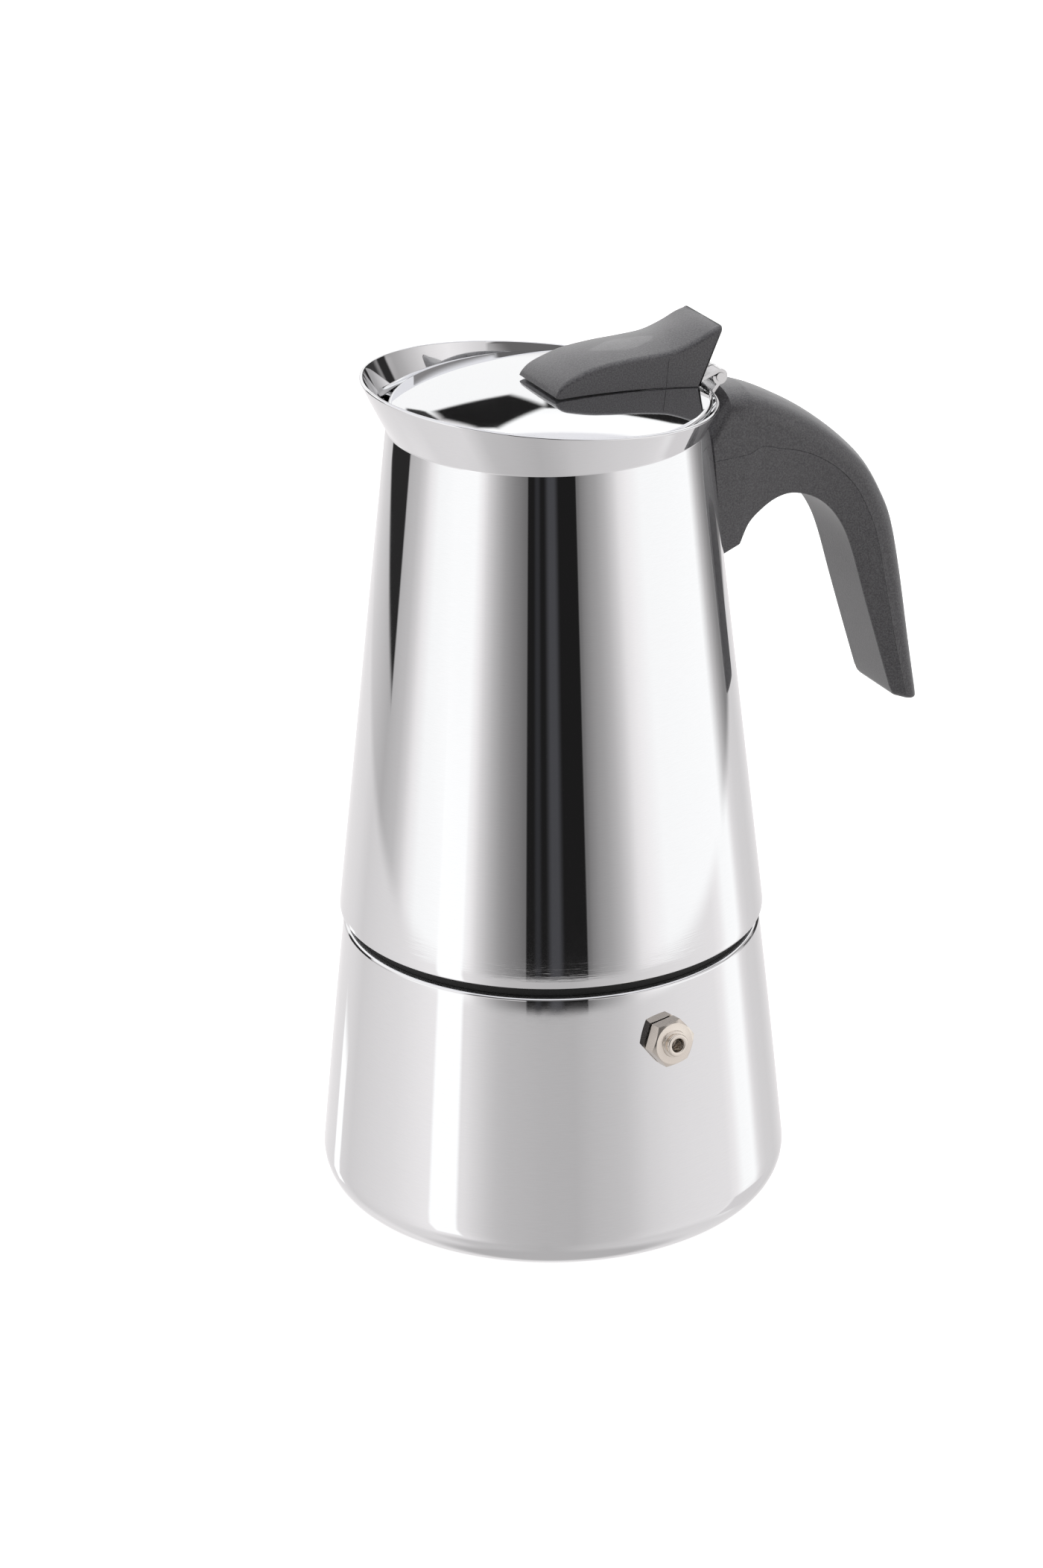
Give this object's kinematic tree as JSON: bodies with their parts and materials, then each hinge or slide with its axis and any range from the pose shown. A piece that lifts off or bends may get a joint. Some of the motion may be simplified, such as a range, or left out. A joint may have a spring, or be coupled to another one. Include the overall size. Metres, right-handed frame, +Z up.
{
  "type": "moka pot",
  "caption": "Stove-top moka pot: conical boiler with safety valve, coffee funnel, screw-on jug with pouring lip, hinged lid with knob, and one-ended handle.",
  "frame": {"origin": "centre of the boiler's flat base, on the surface it stands on", "axes": "+Z up along the pot's axis, +X towards the handle and hinge, -X towards the pouring lip"},
  "size_m": [0.1421, 0.1053, 0.1971],
  "materials": {
    "polished_steel": "mirror-polished stainless steel with very fine turning marks",
    "satin_steel": "satin stainless steel",
    "hinge_steel": "plain bright stainless steel",
    "nickel": "nickel-plated brass, warm",
    "black_plastic": "fine-grained matte black heat-resistant plastic",
    "black_rubber": "matte black rubber",
    "silicone": "off-white silicone"
  },
  "bodies": {
    "boiler": {"boiler": "polished_steel", "seam_band": "black_rubber", "valve_washer": "black_rubber", "valve_body": "nickel", "valve_inner_seal": "black_rubber", "valve_lock_nut": "nickel"},
    "piston": {"valve_piston": "nickel", "valve_spring": "hinge_steel"},
    "funnel": {"funnel": "satin_steel", "funnel_tube": "satin_steel", "funnel_sieve": "satin_steel"},
    "seal": {"gasket": "silicone", "filter_plate": "satin_steel"},
    "jug": {"jug": "polished_steel", "jug_base": "satin_steel", "column": "satin_steel", "column_cap": "satin_steel", "jug_hinge_leaf": "hinge_steel", "hinge_pin": "hinge_steel", "handle": "black_plastic", "handle_bracket": "hinge_steel", "handle_screw": "hinge_steel"},
    "lid": {"lid": "polished_steel", "lid_hinge_leaf": "hinge_steel", "lid_knob": "black_plastic", "knob_screws": "hinge_steel"}
  },
  "joints": [
    {"name": "funnel_lift", "type": "slide", "parent": "boiler", "child": "funnel", "axis": [0, 0, 1], "range_m": [0, 0.08]},
    {"name": "jug_rise", "type": "slide", "parent": "funnel", "child": "seal", "axis": [0, 0, 1], "range_m": [0, 0.0075]},
    {"name": "jug_turn", "type": "hinge", "parent": "seal", "child": "jug", "pos_m": [0, 0, 0], "axis": [0, 0, 1], "range_deg": [0, 900]},
    {"name": "lid_hinge", "type": "hinge", "parent": "jug", "child": "lid", "pos_m": [0.03732, 0, 0.1857], "axis": [0, 1, 0], "range_deg": [0, 105]},
    {"name": "valve_lift", "type": "slide", "parent": "boiler", "child": "piston", "axis": [0.0867, -0.9908, 0.1035], "range_m": [0, 0.0008], "stiffness_N_per_m": 500, "springref_m": -0.005}
  ],
  "couplings": [
    {"joint": "jug_rise", "follows": "jug_turn", "m_per_rad": 0.00047746}
  ]
}
